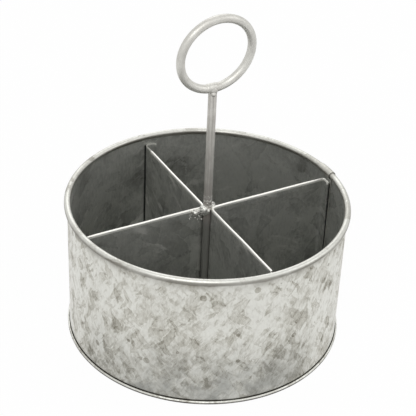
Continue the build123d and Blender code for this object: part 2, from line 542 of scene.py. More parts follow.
class NodeBench:
    """Lays out the nodes of one material or world and joins them."""

    number_givers: tuple[str, ...] = ("DOT_PRODUCT", "DISTANCE")

    def __init__(self, owner: bpy.types.Material | bpy.types.World) -> None:
        """Start without nodes.

        Args:
            owner: The material or the world that the nodes belong to.
        """
        owner.use_nodes = True
        self.owner = owner
        self.tree = owner.node_tree
        self.tree.nodes.clear()

    def add(self, kind: str, feeds: dict[str | int, Any] | None = None, **settings: Any) -> bpy.types.Node:
        """Add a node.

        Args:
            kind: The node's type.
            feeds: What goes into its sockets, by name or number: another node's socket or a value.
            settings: The node's own properties.

        Returns:
            The new node.
        """
        node = self.tree.nodes.new(kind)
        for key, value in settings.items():
            setattr(node, key, value)
        for key, value in (feeds or {}).items():
            if isinstance(value, bpy.types.NodeSocket):
                self.tree.links.new(value, node.inputs[key])
            else:
                node.inputs[key].default_value = value
        return node

    def number(self, operation: str, first: Any, second: Any = 0.0, clamp: bool = False) -> Socket:
        """Work out one number from two."""
        node = self.add("ShaderNodeMath", {0: first, 1: second}, operation=operation, use_clamp=clamp)
        return node.outputs["Value"]

    def plus(self, first: Any, second: Any) -> Socket:
        """The sum of two numbers."""
        return self.number("ADD", first, second)

    def minus(self, first: Any, second: Any) -> Socket:
        """A number less another."""
        return self.number("SUBTRACT", first, second)

    def times(self, first: Any, second: Any) -> Socket:
        """The product of two numbers."""
        return self.number("MULTIPLY", first, second)

    def vector(self, operation: str, first: Any, second: Any) -> Socket:
        """Work out a vector, or a number for an operation that gives one, from two vectors."""
        node = self.add("ShaderNodeVectorMath", {0: first, 1: second}, operation=operation)
        return node.outputs["Value" if operation in self.number_givers else "Vector"]

    def ramp(self, value: Any, ramp: Ramp) -> Socket:
        """Map a number through a ramp.

        Args:
            value: The number.
            ramp: The ramp.

        Returns:
            The ramp's level there.
        """
        feeds = {
            "Value": value,
            "From Min": ramp.low,
            "From Max": ramp.high,
            "To Min": ramp.at_low,
            "To Max": ramp.at_high,
        }
        return self.add("ShaderNodeMapRange", feeds, interpolation_type="SMOOTHSTEP").outputs["Result"]

    def mix(self, share: Any, first: Any, second: Any) -> Socket:
        """Mix two colours, by the share of the second one."""
        feeds = {MIX_SHARE: share, MIX_FIRST: first, MIX_SECOND: second}
        return self.add("ShaderNodeMix", feeds, data_type="RGBA").outputs[MIX_RESULT]

    def noise(self, place: Any, mottle: Mottle, output: str = "Fac") -> Socket:
        """Add a noise pattern.

        Args:
            place: The point at which it is read.
            mottle: The pattern.
            output: The socket that is wanted, Fac for a number or Color for three of them.

        Returns:
            That socket.
        """
        feeds = {
            "Vector": place,
            "Scale": mottle.scale,
            "Detail": mottle.detail,
            "Roughness": mottle.roughness,
        }
        return self.add("ShaderNodeTexNoise", feeds).outputs[output]

    def place(self) -> Socket:
        """The point on the object."""
        return self.add("ShaderNodeTexCoord").outputs["Object"]

    def height(self) -> Socket:
        """The height of the point on the object."""
        return self.split(self.place())[2]

    def turned(self, point: Any, angle: float, stretch: Triple = UNSTRETCHED) -> Socket:
        """A point turned about Z, and stretched along the axes before that."""
        feeds = {"Vector": point, "Rotation": (0.0, 0.0, angle), "Scale": stretch}
        return self.add("ShaderNodeMapping", feeds).outputs["Vector"]

    def split(self, point: Any) -> tuple[Socket, ...]:
        """A point's three numbers."""
        return tuple(self.add("ShaderNodeSeparateXYZ", {"Vector": point}).outputs)

    def join(self, first: Any, second: Any) -> Socket:
        """A level point from its two numbers."""
        return self.add("ShaderNodeCombineXYZ", {"X": first, "Y": second}).outputs["Vector"]

    def bump(self, height: Any, strength: float, depth: float) -> Socket:
        """The surface's direction, bumped by a height."""
        feeds = {"Height": height, "Strength": strength, "Distance": depth}
        return self.add("ShaderNodeBump", feeds).outputs["Normal"]

    def coat(self, colour: Any, metallic: float, roughness: Any, normal: Any) -> bpy.types.Material:
        """Close the material with a principled shader.

        Args:
            colour: The shader's colour.
            metallic: How metallic it is.
            roughness: Its roughness.
            normal: The surface's direction.

        Returns:
            The finished material.
        """
        feeds = {"Base Color": colour, "Metallic": metallic, "Roughness": roughness, "Normal": normal}
        shader = self.add("ShaderNodeBsdfPrincipled", feeds)
        self.add("ShaderNodeOutputMaterial", {"Surface": shader.outputs["BSDF"]})
        return self.owner


@dataclass(frozen=True)
class Band:
    """A stretch of an object's height that is tinted, and can be broken up by noise in places; it carries
    painted shade and a painted highlight as well as real tints.

    Its ends are counted from a base height.
    """

    base: float
    low: float
    high: float
    at_low: float
    at_high: float
    tint: Colour
    breakup: float = 0.0
    break_noise: Mottle = Mottle(42.0, 3.0, 0.6)
    break_low: float = 0.36
    break_high: float = 0.6

    def over(self, bench: NodeBench, colour: Any) -> Socket:
        """Lay the tint over a colour.

        Args:
            bench: The material's nodes.
            colour: The colour below.

        Returns:
            The tinted colour.
        """
        stretch = Ramp(self.base + self.low, self.base + self.high, self.at_low, self.at_high)
        share = bench.ramp(bench.height(), stretch)
        if self.breakup:
            breaking = Ramp(self.break_low, self.break_high, 1 - self.breakup, 1.0)
            share = bench.times(share, bench.ramp(bench.noise(bench.place(), self.break_noise), breaking))
        return bench.mix(share, colour, self.tint)


@dataclass(frozen=True)
class CornerShade:
    """A line of painted shade up the wall, where a divider's end meets it."""

    azimuth: float
    half_width: float
    radius: float = PLAN.drum_radius
    top: float = PLAN.fold_line
    strength: float = 0.92
    core_share: float = 0.4
    tint: Colour = paint(24, 23, 21)

    def over(self, bench: NodeBench, colour: Any) -> Socket:
        """Lay the painted shade over a colour.

        Args:
            bench: The material's nodes.
            colour: The colour below.

        Returns:
            The darkened colour.
        """
        flat = bench.vector("MULTIPLY", bench.place(), LEVEL)
        away = bench.vector("DISTANCE", flat, polar(self.radius, self.azimuth))
        core = self.half_width * self.core_share
        share = bench.ramp(away, Ramp(core, self.half_width, self.strength, 0.0))
        below = bench.ramp(bench.height(), Ramp(self.top - self.half_width, self.top, 1.0, 0.0))
        return bench.mix(bench.times(share, below), colour, self.tint)


@dataclass(frozen=True)
class Stroke:
    """One layer of flakes: how they lean, how fine, how long for their width and how dull they are."""

    lean: float
    scale: float
    length: float
    weight: float


@dataclass(frozen=True)
class Flakes:
    """Dull flakes in layers, crisp at one end, feathered at the other and outlined."""

    strokes: tuple[Stroke, ...]
    share: float = 0.34
    rarest: float = 0.9
    surest: float = 1.15
    teeth: float = 9.0 * MM
    comb: Mottle = Mottle(1.0, 2.0, 0.6)
    comb_across: float = 7.0
    comb_along: float = 0.9
    flip_low: float = 0.45
    flip_high: float = 0.55
    feather: Ramp = Ramp(-0.35, 0.2)
    border: Ramp = Ramp(0.0, 0.05)
    outline: Ramp = Ramp(0.05, 0.2, 0.5, 0.0)

    def layer(self, bench: NodeBench, spot: Socket, stroke: Stroke, bias: Socket) -> Socket:
        """Scatter one layer of flakes.

        Args:
            bench: The material's nodes.
            spot: The point on the flat sheet.
            stroke: The layer.
            bias: Pushes the chance of a flake up or down.

        Returns:
            How dull the layer makes the sheet.
        """
        turned = bench.turned(spot, stroke.lean)
        comb = (self.comb_across * stroke.scale, self.comb_along * stroke.scale, 1.0)
        tooth = bench.minus(bench.noise(bench.vector("MULTIPLY", turned, comb), self.comb), NOISE_MIDDLE)
        across, along, _ = bench.split(turned)
        along = bench.plus(along, bench.times(tooth, self.teeth))
        drawn = bench.join(across, bench.number("DIVIDE", along, stroke.length))
        feeds = {"Vector": drawn, "Scale": stroke.scale}
        kind = {"voronoi_dimensions": "2D"}
        cells = bench.add("ShaderNodeTexVoronoi", feeds, **kind).outputs
        borders = bench.add("ShaderNodeTexVoronoi", feeds, feature="DISTANCE_TO_EDGE", **kind).outputs
        tone = bench.add("ShaderNodeSeparateColor", {"Color": cells["Color"]}).outputs
        ahead = bench.split(bench.vector("SUBTRACT", drawn, cells["Position"]))[1]
        flip = Ramp(self.flip_low, self.flip_high, -stroke.scale, stroke.scale)
        shade = bench.ramp(bench.times(ahead, bench.ramp(tone["Green"], flip)), self.feather)
        chance = bench.plus(tone["Red"], bias)
        chosen = bench.ramp(chance, Ramp(self.rarest - self.share, self.surest - self.share))
        edge = bench.ramp(borders["Distance"], self.border)
        outline = bench.ramp(borders["Distance"], self.outline)
        edge = bench.plus(edge, bench.times(outline, edge))
        return bench.times(bench.times(chosen, shade), edge)

    def over(self, bench: NodeBench, dull: Socket, spot: Socket, bias: Socket) -> Socket:
        """Add all layers to the sheet's dullness.

        Args:
            bench: The material's nodes.
            dull: How dull the sheet is without them.
            spot: The point on the flat sheet.
            bias: Pushes the chance of a flake up or down.

        Returns:
            How dull the sheet is with them.
        """
        for stroke in self.strokes:
            layer = self.layer(bench, spot, stroke, bias)
            dull = bench.plus(dull, bench.times(layer, stroke.weight))
        return dull


@dataclass(frozen=True)
class Drips:
    """A few round drip marks with a dull rim."""

    strength: float
    scale: float = 26.0
    radius: float = 2.3 * MM
    edge: float = 0.2 * MM
    rim: float = 0.4 * MM
    rim_share: float = 0.4
    sizes: Ramp = Ramp(0.3, 1.0, 0.2, 1.0)

    def over(self, bench: NodeBench, dull: Socket, spot: Socket) -> Socket:
        """Add the marks to the sheet's dullness.

        Args:
            bench: The material's nodes.
            dull: How dull the sheet is without them.
            spot: The point on the flat sheet.

        Returns:
            How dull the sheet is with them.
        """
        feeds = {"Vector": spot, "Scale": self.scale}
        drop = bench.add("ShaderNodeTexVoronoi", feeds, voronoi_dimensions="2D").outputs
        size = bench.add("ShaderNodeSeparateColor", {"Color": drop["Color"]}).outputs["Red"]
        reach = bench.number("DIVIDE", drop["Distance"], self.scale)
        reach = bench.number("DIVIDE", reach, bench.ramp(size, self.sizes))
        inside = Ramp(self.radius - self.edge, self.radius + self.edge, self.strength, 0.0)
        away = bench.number("ABSOLUTE", bench.minus(reach, self.radius))
        rim = bench.ramp(away, Ramp(0.0, self.rim, self.strength * self.rim_share, 0.0))
        return bench.plus(dull, bench.plus(bench.ramp(reach, inside), rim))


@dataclass(frozen=True)
class Scuffs:
    """Patches of light slanting scuffs."""

    strength: float
    lean: float = math.radians(-58.0)
    draw: Triple = (1.0, 0.2, 1.0)
    streaks: Mottle = Mottle(170.0, 5.0, 0.7)
    streak_low: float = 0.5
    streak_high: float = 0.68
    patches: Mottle = Mottle(30.0, 2.0, 0.5)
    patch: Ramp = Ramp(0.46, 0.6)
    tint: Colour = paint(250, 249, 244)

    def over(self, bench: NodeBench, colour: Any, spot: Socket) -> Socket:
        """Lay the scuffs over a colour.

        Args:
            bench: The material's nodes.
            colour: The colour below.
            spot: The point on the flat sheet.

        Returns:
            The lightened colour.
        """
        drawn = bench.vector("MULTIPLY", bench.turned(spot, self.lean), self.draw)
        lightness = Ramp(self.streak_low, self.streak_high, 0.0, self.strength)
        streak = bench.ramp(bench.noise(drawn, self.streaks), lightness)
        patch = bench.ramp(bench.noise(spot, self.patches), self.patch)
        return bench.mix(bench.times(streak, patch), colour, self.tint)


@dataclass(frozen=True)
class LowShade:
    """A torn grey painted shade, low on one side of the drum, with more flakes in it."""

    strength: float
    height: float = 62.0 * MM
    side: Triple = (-0.53, -0.85, 0.0)
    side_reach: Ramp = Ramp(45.0 * MM, 97.0 * MM)
    tears: Mottle = Mottle(30.0, 6.0, 0.65)
    torn: Ramp = Ramp(0.4, 0.56, 0.45, 1.0)
    flaking: float = 0.45
    tint: Colour = paint(147, 148, 144)

    def share(self, bench: NodeBench) -> Socket:
        """Work out where the painted shade lies.

        Args:
            bench: The material's nodes.

        Returns:
            How strong the painted shade is.
        """
        low = bench.ramp(bench.height(), Ramp(0.0, self.height, self.strength, 0.0))
        facing = bench.ramp(bench.vector("DOT_PRODUCT", bench.place(), self.side), self.side_reach)
        torn = bench.ramp(bench.noise(bench.place(), self.tears), self.torn)
        return bench.times(bench.times(low, facing), torn)


@dataclass(frozen=True)
class ZincFinish:
    """Hot-dipped zinc: pale sheet with dull flakes, soft clouds and a fine grain, marks of its use, and
    painted shade and highlights.
    """

    name: str
    layout: Layout
    light: Colour
    patch: Colour
    deep: Colour
    flakes: Flakes
    drips: Drips | None = None
    scuffs: Scuffs | None = None
    low_shade: LowShade | None = None
    bands: tuple[Band | CornerShade, ...] = ()
    cloud: float = 0.42
    clumping: float = 1.0
    clouds: Mottle = Mottle(24.0, 5.0, 0.6)
    cloud_low: float = 0.35
    cloud_high: float = 0.75
    grain: float = 0.2
    grains: Mottle = Mottle(560.0, 4.0, 0.7)
    grain_stretch: Triple = (1.0, 1.0, 0.45)
    waver: Mottle = Mottle(130.0, 3.0, 0.55)
    waver_reach: float = 5.5 * MM
    tear: Mottle = Mottle(480.0, 3.0, 0.6)
    tear_reach: float = 1.2 * MM
    patching: Ramp = Ramp(-0.1, 0.75)
    deepening: Ramp = Ramp(0.5, 1.6)
    metallic: float = 0.85
    roughness_low: float = 0.38
    roughness_high: float = 0.55
    relief: float = 0.14
    relief_depth: float = 0.4 * MM
    grain_rise: float = 0.6
    flake_sink: float = 0.5

    def spot(self, bench: NodeBench) -> Socket:
        """The point on the sheet, as if the sheet were laid flat and its ends were at the lap.

        Args:
            bench: The material's nodes.

        Returns:
            The level point.
        """
        point = bench.place()
        if self.layout is Layout.FLAT:
            return bench.vector("MULTIPLY", point, LEVEL)
        if self.layout is Layout.UPRIGHT:
            x, y, z = bench.split(point)
            return bench.join(bench.minus(x, y), z)
        x, y, z = bench.split(bench.turned(point, HALF_TURN - PLAN.seam_azimuth))
        around = bench.times(bench.number("ARCTAN2", y, x), PLAN.drum_radius)
        return bench.join(around, z)

    def warp(self, bench: NodeBench, spot: Socket) -> Socket:
        """Push a point on the sheet aside by a broad waver and a fine tear, to make flakes uneven.

        Args:
            bench: The material's nodes.
            spot: The point on the flat sheet.

        Returns:
            The point pushed aside.
        """
        middle = (NOISE_MIDDLE, NOISE_MIDDLE, NOISE_MIDDLE)
        for mottle, reach in ((self.waver, self.waver_reach), (self.tear, self.tear_reach)):
            push = bench.vector("SUBTRACT", bench.noise(bench.place(), mottle, "Color"), middle)
            spot = bench.vector("ADD", spot, bench.vector("MULTIPLY", push, (reach, reach, 0.0)))
        return spot

    def material(self) -> bpy.types.Material:
        """Lay out the finish's nodes.

        Returns:
            The material.
        """
        bench = NodeBench(bpy.data.materials.new(self.name))
        spot = self.spot(bench)
        warped = self.warp(bench, spot)
        cloud = bench.noise(bench.place(), self.clouds)
        grain = bench.noise(bench.turned(bench.place(), 0.0, self.grain_stretch), self.grains)
        bias = bench.times(bench.minus(cloud, NOISE_MIDDLE), self.clumping)
        # The painted low shade also brings more flakes where it lies.
        if self.low_shade:
            low_shade = self.low_shade.share(bench)
            bias = bench.plus(bias, bench.times(low_shade, self.low_shade.flaking))
        clouding = Ramp(self.cloud_low, self.cloud_high, 0.0, self.cloud)
        graining = Ramp(NOISE_LOW, NOISE_HIGH, -self.grain, self.grain)
        dull = bench.plus(bench.ramp(cloud, clouding), bench.ramp(grain, graining))
        dull = self.flakes.over(bench, dull, warped, bias)
        if self.drips:
            dull = self.drips.over(bench, dull, spot)
        colour = bench.mix(bench.ramp(dull, self.patching), self.light, self.patch)
        colour = bench.mix(bench.ramp(dull, self.deepening), colour, self.deep)
        # Painted shade, low on one side of the drum.
        if self.low_shade:
            colour = bench.mix(low_shade, colour, self.low_shade.tint)
        if self.scuffs:
            colour = self.scuffs.over(bench, colour, warped)
        # Bands, mostly painted shade and highlight, laid over the colour.
        for band in self.bands:
            colour = band.over(bench, colour)
        roughness = bench.ramp(dull, Ramp(0.0, 1.0, self.roughness_low, self.roughness_high))
        height = bench.minus(bench.times(grain, self.grain_rise), bench.times(dull, self.flake_sink))
        normal = bench.bump(height, self.relief, self.relief_depth)
        return bench.coat(colour, self.metallic, roughness, normal)


@dataclass(frozen=True)
class BarFinish:
    """Satin silver bar: an even, slightly grainy coat, which can be streaked along the bar."""

    name: str
    light: Colour
    dark: Colour
    bands: tuple[Band, ...] = ()
    clouds: Mottle = Mottle(90.0, 4.0, 0.6)
    grains: Mottle = Mottle(1500.0, 2.0, 0.6)
    grain_share: float = 0.08
    streak: float = 0.0
    streaks: Mottle = Mottle(900.0, 3.0, 0.6)
    streak_draw: Triple = (1.0, 1.0, 0.02)
    metallic: float = 0.8
    roughness_low: float = 0.3
    roughness_high: float = 0.42
    relief: float = 0.006
    relief_depth: float = 0.1 * MM

    def material(self) -> bpy.types.Material:
        """Lay out the finish's nodes.

        Returns:
            The material.
        """
        bench = NodeBench(bpy.data.materials.new(self.name))
        cloud = bench.noise(bench.place(), self.clouds)
        grain = bench.noise(bench.place(), self.grains)
        tone = bench.plus(bench.times(cloud, 1 - self.grain_share), bench.times(grain, self.grain_share))
        if self.streak:
            drawn = bench.noise(bench.turned(bench.place(), 0.0, self.streak_draw), self.streaks)
            streaking = Ramp(NOISE_LOW, NOISE_HIGH, -self.streak, self.streak)
            tone = bench.plus(tone, bench.ramp(drawn, streaking))
        colour = bench.mix(bench.ramp(tone, Ramp(NOISE_LOW, NOISE_HIGH)), self.dark, self.light)
        for band in self.bands:
            colour = band.over(bench, colour)
        roughness = bench.ramp(tone, Ramp(NOISE_LOW, NOISE_HIGH, self.roughness_high, self.roughness_low))
        normal = bench.bump(grain, self.relief, self.relief_depth)
        return bench.coat(colour, self.metallic, roughness, normal)


@dataclass(frozen=True)
class WeldFinish:
    """Weld metal: lumpy, speckled from bright beads to dark scale."""

    name: str
    bright: Colour
    scale: Colour
    speckles: Mottle = Mottle(620.0, 4.0, 0.7)
    speckle_weight: float = 0.8
    bead_scale: float = 900.0
    bead_weight: float = 0.3
    scaling: Ramp = Ramp(0.42, 0.78)
    roughness: Ramp = Ramp(0.35, 0.75, 0.28, 0.55)
    metallic: float = 0.85
    relief: float = 0.4
    relief_depth: float = 0.4 * MM

    def material(self) -> bpy.types.Material:
        """Lay out the finish's nodes.

        Returns:
            The material.
        """
        bench = NodeBench(bpy.data.materials.new(self.name))
        speckle = bench.noise(bench.place(), self.speckles)
        feeds = {"Vector": bench.place(), "Scale": self.bead_scale}
        beads = bench.add("ShaderNodeTexVoronoi", feeds).outputs["Distance"]
        tone = bench.plus(bench.times(speckle, self.speckle_weight), bench.times(beads, self.bead_weight))
        colour = bench.mix(bench.ramp(tone, self.scaling), self.bright, self.scale)
        normal = bench.bump(tone, self.relief, self.relief_depth)
        return bench.coat(colour, self.metallic, bench.ramp(tone, self.roughness), normal)


# Painted shade on the wall just above the base's fold, where the crevice between them is dark.
SEAM_SHADE = Band(
    base=PLAN.fold_top,
    low=0.3 * MM,
    high=1.2 * MM,
    at_low=0.96,
    at_high=0.0,
    tint=paint(50, 44, 36),
    breakup=0.3,
)
# Painted shade on the lower part of the base's fold, up to 2 mm above the floor.
FOLD_FOOT_SHADE = Band(
    base=0.0,
    low=1.0 * MM,
    high=2.0 * MM,
    at_low=0.95,
    at_high=0.0,
    tint=paint(50, 46, 40),
    breakup=0.2,
)
# Painted shade: the wall darkens over the 8 mm below the rolled rim, broken up by noise.
NECK_SHADE_BAND = Band(
    base=PLAN.rim_foot,
    low=-8.0 * MM,
    high=0.0,
    at_low=0.0,
    at_high=0.6,
    tint=paint(120, 115, 104),
    breakup=0.75,
)
# Painted shadow: a dark line on the wall just under the rolled rim.
NECK_SHADOW_LINE = Band(
    base=PLAN.rim_foot,
    low=-1.8 * MM,
    high=-0.2 * MM,
    at_low=0.0,
    at_high=0.92,
    tint=paint(52, 49, 44),
    breakup=0.5,
)
ROLL_SHADE = Band(
    base=PLAN.roll_height,
    low=0.0,
    high=1.9 * MM,
    at_low=0.8,
    at_high=0.0,
    tint=paint(112, 108, 99),
    breakup=0.35,
)
# The hem made near white from just below its fold up: partly rubbed bare zinc, partly a painted highlight
# that widens the lit top edge.
HEM_WEAR_AND_HIGHLIGHT = Band(
    base=PLAN.fold_line,
    low=-1.5 * MM,
    high=-0.8 * MM,
    at_low=0.0,
    at_high=1.0,
    tint=paint(238, 237, 231),
)
# Darker rod by the dividers' top: a heat tint above them from the weld, and painted shade below, where the
# rod runs down between the dividers.
ROD_HEAT_AND_SHADE = Band(
    base=PLAN.divider_top,
    low=-1.0 * MM,
    high=30.0 * MM,
    at_low=1.0,
    at_high=0.0,
    tint=paint(170, 164, 159),
)
# Painted shade on the rod low down between the dividers.
ROD_FOOT_SHADE = Band(
    base=PLAN.divider_top,
    low=-18.0 * MM,
    high=-6.0 * MM,
    at_low=1.0,
    at_high=0.0,
    tint=paint(140, 140, 135),
)
# Painted shade up the inside of the wall, in the corners where each divider's arm meets it.
CORNER_SHADE = tuple(
    CornerShade(side.value + turn, half_width=1.3 * MM)
    for side in Side
    for turn in (PLAN.x_bend_turn, PLAN.y_bend_turn)
)
# Painted shade up the inside of the wall, just beyond each tab's free edge, where the gap behind the tab is
# dark.
EDGE_INSET = 1.6 * MM / PLAN.drum_radius
EDGE_SHADE = tuple(
    CornerShade(side.value + turn - PLAN.tab_angle + EDGE_INSET, half_width=2.4 * MM)
    for side in Side
    for turn in (PLAN.x_tab_turn, PLAN.y_tab_turn)
)
BOLD_STROKES = (
    Stroke(math.radians(28.0), 120.0, 2.8, 0.32),
    Stroke(math.radians(-34.0), 180.0, 3.0, 0.38),
    Stroke(math.radians(40.0), 280.0, 3.2, 0.36),
    Stroke(math.radians(-50.0), 420.0, 3.6, 0.28),
    Stroke(math.radians(36.0), 720.0, 5.0, 0.3),
)
FAINT_STROKES = (
    Stroke(math.radians(36.0), 44.0, 1.8, 0.3),
    Stroke(math.radians(-48.0), 80.0, 2.4, 0.34),
    Stroke(math.radians(74.0), 170.0, 2.6, 0.24),
)
RIM_STROKES = (
    Stroke(math.radians(90.0), 110.0, 5.0, 0.5),
    Stroke(math.radians(86.0), 300.0, 6.0, 0.4),
)
OUTSIDE_ZINC = ZincFinish(
    name="zinc_outside",
    layout=Layout.WRAPPED,
    light=paint(223, 223, 217),
    patch=paint(191, 189, 180),
    deep=paint(126, 122, 109),
    flakes=Flakes(BOLD_STROKES, share=0.3),
    drips=Drips(0.7),
    scuffs=Scuffs(0.15),
    # Painted shade low on the side of the drum that faces the camera.
    low_shade=LowShade(0.9),
    # Painted shade over the seam above the base and under the rolled rim.
    bands=(SEAM_SHADE, NECK_SHADE_BAND, NECK_SHADOW_LINE),
    cloud=0.3,
    clumping=0.35,
    relief=0.3,
)
BASE_ZINC = ZincFinish(
    name="zinc_base",
    layout=Layout.FLAT,
    light=paint(222, 222, 216),
    patch=paint(200, 199, 192),
    deep=paint(160, 157, 148),
    flakes=Flakes(BOLD_STROKES),
    bands=(FOLD_FOOT_SHADE,),
)
UNDER_ZINC = ZincFinish(
    name="zinc_under",
    layout=Layout.FLAT,
    light=paint(214, 214, 208),
    patch=paint(186, 185, 177),
    deep=paint(138, 135, 126),
    flakes=Flakes(BOLD_STROKES),
)
# Darker than the outside zinc, for the drum's inside, the dividers and the base's floor: partly a duller
# zinc, partly painted shade for the inside of the drum.
INSIDE_ZINC = ZincFinish(
    name="zinc_inside",
    layout=Layout.WRAPPED,
    light=paint(202, 203, 198),
    patch=paint(160, 161, 156),
    deep=paint(116, 116, 111),
    flakes=Flakes(FAINT_STROKES),
    scuffs=Scuffs(0.5),
    bands=CORNER_SHADE + EDGE_SHADE,
    cloud=0.85,
    roughness_low=0.42,
    roughness_high=0.6,
)
DIVIDER_ZINC = replace(
    INSIDE_ZINC, name="zinc_divider", layout=Layout.UPRIGHT, scuffs=Scuffs(0.6), bands=(HEM_WEAR_AND_HIGHLIGHT,)
)
FLOOR_ZINC = replace(INSIDE_ZINC, name="zinc_floor", layout=Layout.FLAT, scuffs=None, bands=(), cloud=0.6)
RIM_ZINC = ZincFinish(
    name="zinc_rim",
    layout=Layout.WRAPPED,
    light=paint(208, 208, 202),
    patch=paint(188, 187, 180),
    deep=paint(152, 149, 141),
    flakes=Flakes(RIM_STROKES),
    bands=(ROLL_SHADE,),
    roughness_low=0.42,
    roughness_high=0.52,
)
WIRE_STEEL = BarFinish(name="rim_wire_steel", light=paint(150, 150, 146), dark=paint(112, 111, 107))
HANDLE_STEEL = BarFinish(
    name="handle_silver",
    light=paint(212, 211, 205),
    dark=paint(196, 194, 188),
    metallic=0.65,
    roughness_low=0.4,
    roughness_high=0.5,
)
ROD_STEEL = replace(
    HANDLE_STEEL,
    name="rod_silver",
    light=paint(214, 212, 206),
    dark=paint(182, 179, 173),
    # A heat tint and painted shade on the rod, by and below the dividers' top.
    bands=(ROD_HEAT_AND_SHADE, ROD_FOOT_SHADE),
    streak=0.18,
)
WELD_METAL = WeldFinish(name="weld_lumps", bright=paint(222, 222, 216), scale=paint(104, 101, 96))
FINISHES = (
    OUTSIDE_ZINC,
    BASE_ZINC,
    UNDER_ZINC,
    INSIDE_ZINC,
    FLOOR_ZINC,
    DIVIDER_ZINC,
    RIM_ZINC,
    WIRE_STEEL,
    HANDLE_STEEL,
    ROD_STEEL,
    WELD_METAL,
)


@dataclass
class DrumWall:
    """The drum's wall: a rolled strip with a turned foot, a wired rim and a lap."""

    plan: CaddyPlan
    strip_steps: int = 288
    lap_steps: int = 10
    rows: int = 26
    foot_steps: int = 5
    neck_steps: int = 6
    roll_steps: int = 24
    wave: float = 0.22 * MM
    wave_size: float = 26.0 * MM
    wave_margin: float = 12.0 * MM
    ripple_share: float = 0.4
    ripple_fineness: float = 2.1
    wall_material: int = 0
    rim_material: int = 2

    @property
    def plain_foot(self) -> float:
        """Height at which the lap's outer layer starts, clear of the base's fold."""
        return self.plan.fold_top + self.plan.foot_gap

    def section(
        self,
        bm: bmesh.types.BMesh,
        azimuth: float,
        shift: float = 0.0,
        growth: float = 0.0,
        footed: bool = True,
    ) -> Front:
        """Draw the wall's section at an azimuth: flange, wall, neck and roll.

        Args:
            bm: The mesh to draw in.
            azimuth: Where on the drum the section stands.
            shift: How far the wall stands out.
            growth: How much larger the roll is.
            footed: Whether it has the flange.

        Returns:
            The section as a free edge.
        """
        plan = self.plan
        out = polar(1.0, azimuth)
        middle = plan.wall_middle + shift
        neck = plan.neck_radius + shift
        roll = plan.roll_radius + growth
        reach = plan.drum_radius - (middle - neck)
        neck_height = plan.roll_height - math.sqrt((neck + roll) ** 2 - reach**2)
        neck_angle = math.atan2(plan.roll_height - neck_height, reach)
        roll_angle = HALF_TURN + neck_angle + plan.roll_stop
        if footed:
            bend_out = middle + plan.flange_bend
            bend_up = plan.flange_height + plan.flange_bend
            line = BentLine(bm, ORIGIN, out, (plan.fold_centre, plan.flange_height))
            line.run(bend_out, plan.flange_height)
            line.arc(bend_out, bend_up, -QUARTER_TURN, self.foot_steps)
            line.run(middle, self.plain_foot)
        else:
            line = BentLine(bm, ORIGIN, out, (middle, self.plain_foot))
        line.run(middle, neck_height, self.rows)
        line.arc(middle - neck, neck_height, neck_angle, self.neck_steps)
        line.arc(plan.drum_radius, plan.roll_height, -roll_angle, self.roll_steps)
        return line.front()

    def sheet(self) -> bmesh.types.BMesh:
        """Draw the strip round the drum and its two ends in the lap.

        Returns:
            The sheet's middle.
        """
        plan = self.plan
        lap = plan.lap_length / plan.drum_radius
        tuck = plan.tuck_length / plan.drum_radius
        joggle = plan.joggle_length / plan.drum_radius
        over_start = plan.seam_azimuth + lap + tuck
        under_start = plan.seam_azimuth - tuck
        strip_start = over_start + joggle
        strip_end = under_start - joggle
        bm = bmesh.new()
        first = self.section(bm, strip_start)
        last = first.turn(ORIGIN, UP, FULL_TURN + strip_end - strip_start, self.strip_steps)
        over = self.section(bm, over_start, growth=plan.lap_step)
        over.turn(ORIGIN, UP, plan.seam_azimuth - over_start, self.lap_steps)
        bmesh.ops.bridge_loops(bm, edges=first.edges + over.edges)
        under = self.section(bm, under_start, shift=plan.lap_step, footed=False)
        under.turn(ORIGIN, UP, lap + tuck, self.lap_steps)
        plain = last.where(lambda point: point.z > self.plain_foot - TOLERANCE)
        bmesh.ops.bridge_loops(bm, edges=plain.edges + under.edges)
        return bm

    def outward(self, point: Vector) -> Vector:
        """Away from the axis on the wall's plain height, and nothing elsewhere."""
        plain = self.plain_foot < point.z < self.plan.divider_top
        return Vector((point.x, point.y, 0.0)) if plain else ORIGIN

    def mark_rim(self, bm: bmesh.types.BMesh) -> None:
        """Give the rolled rim a material of its own.

        Args:
            bm: The wall's sheet.
        """
        plan = self.plan
        for face in bm.faces:
            middle = face.calc_center_median()
            reach = Vector((middle.to_2d().length - plan.drum_radius, middle.z - plan.roll_height)).length
            high = middle.z > plan.rim_foot - plan.lap_step
            rolled = high and reach < plan.roll_radius + plan.lap_step
            face.material_index = self.rim_material if rolled else self.wall_material

    def dent(self, bm: bmesh.types.BMesh) -> None:
        """Make the wall faintly uneven between its foot and its rim.

        Args:
            bm: The wall's sheet.
        """
        neck = self.plan.rim_foot
        for vert in bm.verts:
            height = vert.co.z
            share = ease(height, self.plain_foot, self.wave_margin)
            share *= 1 - ease(height, neck - self.wave_margin, neck - self.plan.neck_radius)
            around = vert.co / self.wave_size
            swell = noise.noise(around) + self.ripple_share * noise.noise(around * self.ripple_fineness)
            vert.co += radial(vert.co) * (swell * share * self.wave)

    def build(self, finishes: dict[str, bpy.types.Material]) -> bpy.types.Object:
        """Make the wall and dress it.

        Args:
            finishes: The materials by name.

        Returns:
            The wall's object.
        """
        bm = self.sheet()
        face_outward(bm, self.outward)
        self.mark_rim(bm)
        self.dent(bm)
        outside = finishes[OUTSIDE_ZINC.name]
        materials = [outside, finishes[INSIDE_ZINC.name], outside, finishes[RIM_ZINC.name]]
        piece = make_piece("drum_wall_sheet", bm, materials, ("drum_wall",))
        thicken(piece, self.plan.sheet, inner_material=1)
        return piece


